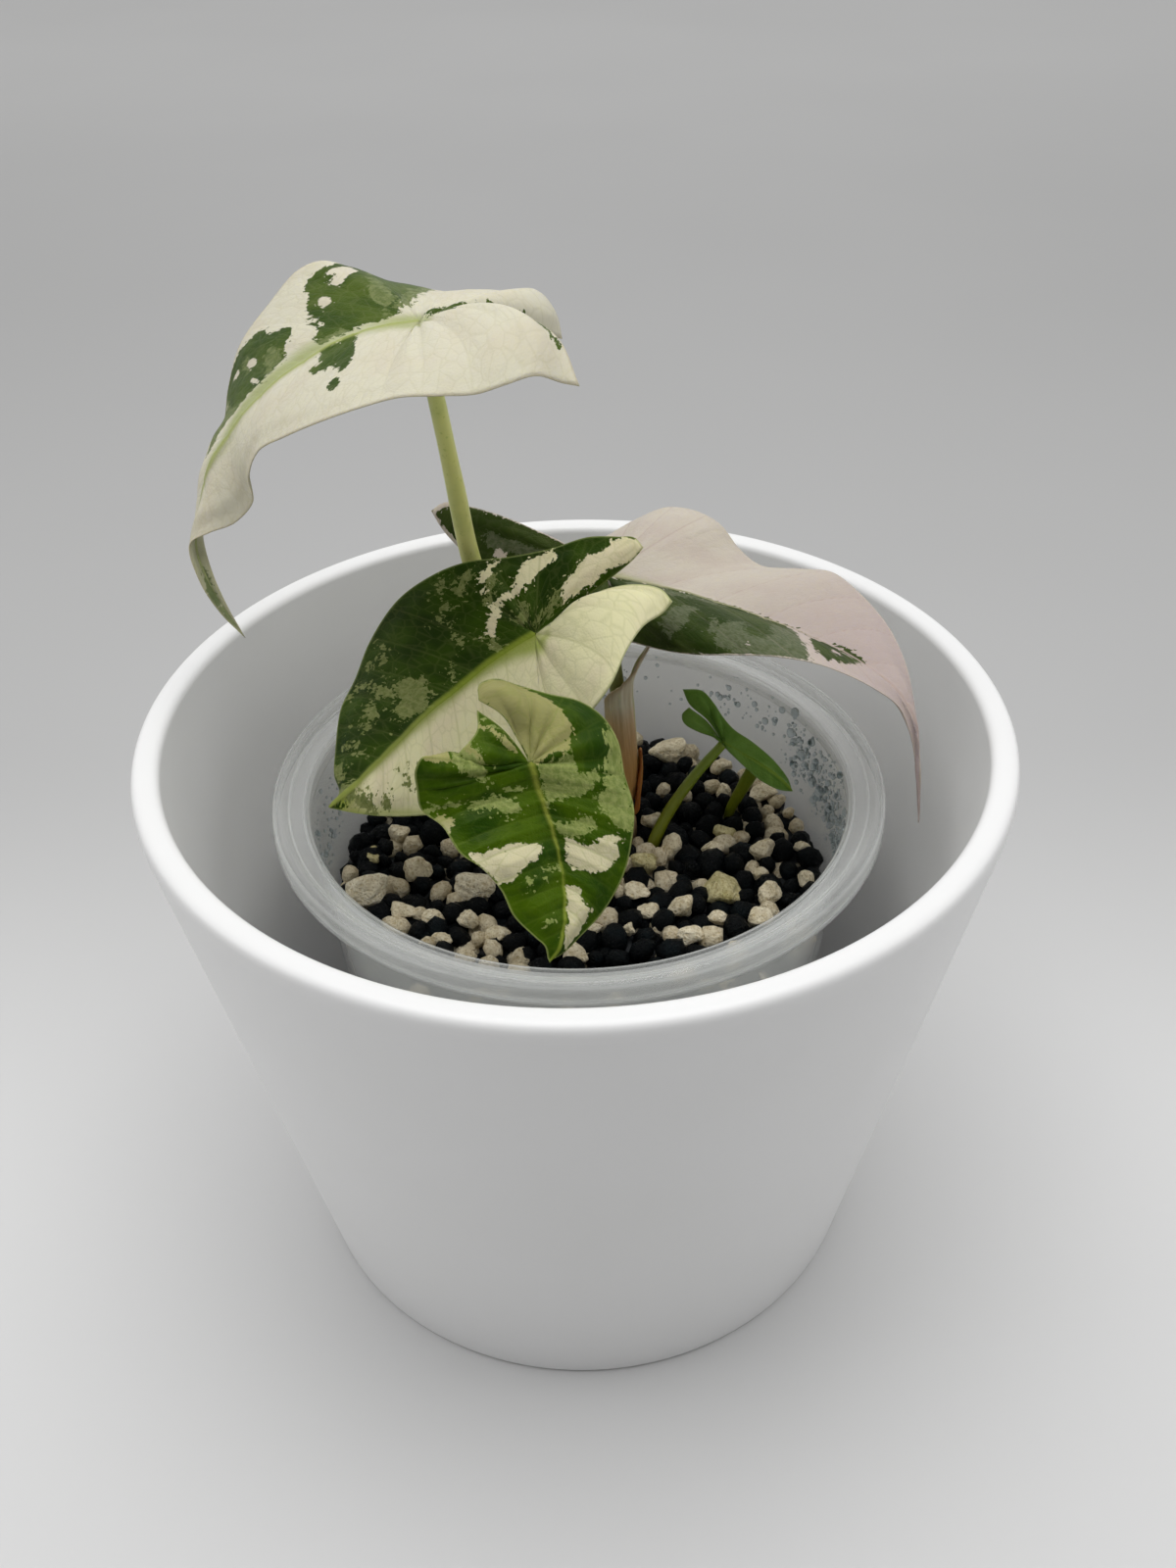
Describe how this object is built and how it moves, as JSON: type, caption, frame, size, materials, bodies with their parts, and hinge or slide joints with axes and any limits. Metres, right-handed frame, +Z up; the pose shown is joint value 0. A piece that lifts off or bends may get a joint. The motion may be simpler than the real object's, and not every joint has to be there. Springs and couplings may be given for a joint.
{
  "type": "potted variegated aroid",
  "caption": "Young variegated aroid house plant with arrow-shaped leaves, in a clear plastic pot standing inside a white conical cachepot.",
  "frame": {"origin": "centre of the cachepot's flat underside", "axes": "+Z up, -Y towards the viewer who sees the small front leaf nearest, +X to that viewer's right"},
  "size_m": [0.16, 0.16, 0.192],
  "materials": {
    "ceramic": "white satin glaze",
    "clear_plastic": "clear thin-walled plastic, slightly cloudy at the rim",
    "mineral_mix": "loose black clay granules with small pumice, rough",
    "pumice": "rough porous stone",
    "corm_skin": "rough fibrous skin",
    "dry_scale": "dry papery scale",
    "sheath_skin": "thin translucent sheath, dry towards its tip",
    "stalk_skin": "smooth satin stalk skin",
    "leaf_white_green": "satin leaf, cream with dark green and sage patches",
    "leaf_lime_green": "satin leaf, lime and dark green with cream patches",
    "leaf_pink_green": "satin leaf, one half pale pink and the other dark green",
    "leaf_plain_green": "satin plain green leaf"
  },
  "bodies": {
    "root": {"cachepot": "ceramic", "nursery_pot": "clear_plastic", "substrate": "mineral_mix", "corm": "corm_skin", "cataphyll": "dry_scale", "petiole_sheath": "sheath_skin", "petiole_tall": "stalk_skin", "petiole_centre": "stalk_skin", "petiole_front": "stalk_skin", "petiole_rear": "stalk_skin", "pup_petiole": "stalk_skin", "pup_spear": "stalk_skin", "leaf_tall": "leaf_white_green", "leaf_centre": "leaf_white_green", "leaf_front": "leaf_lime_green", "leaf_rear": "leaf_pink_green", "pup_leaf": "leaf_plain_green", "pumice_stone_01": "pumice", "pumice_stone_02": "pumice", "pumice_stone_03": "pumice", "pumice_stone_04": "pumice", "pumice_stone_05": "pumice", "pumice_stone_06": "pumice", "pumice_stone_07": "pumice", "pumice_stone_08": "pumice", "pumice_stone_09": "pumice", "pumice_stone_10": "pumice", "pumice_stone_11": "pumice", "pumice_stone_12": "pumice", "pumice_stone_13": "pumice", "pumice_stone_14": "pumice", "pumice_stone_15": "pumice", "pumice_stone_16": "pumice", "pumice_stone_17": "pumice", "pumice_stone_18": "pumice", "pumice_stone_19": "pumice", "pumice_stone_20": "pumice", "pumice_stone_21": "pumice", "pumice_stone_22": "pumice", "pumice_stone_23": "pumice", "pumice_stone_24": "pumice", "pumice_stone_25": "pumice", "pumice_stone_26": "pumice", "pumice_stone_27": "pumice", "pumice_stone_28": "pumice", "pumice_stone_29": "pumice", "pumice_stone_30": "pumice", "pumice_stone_31": "pumice", "pumice_stone_32": "pumice", "pumice_stone_33": "pumice", "pumice_stone_34": "pumice"}
  },
  "joints": []
}
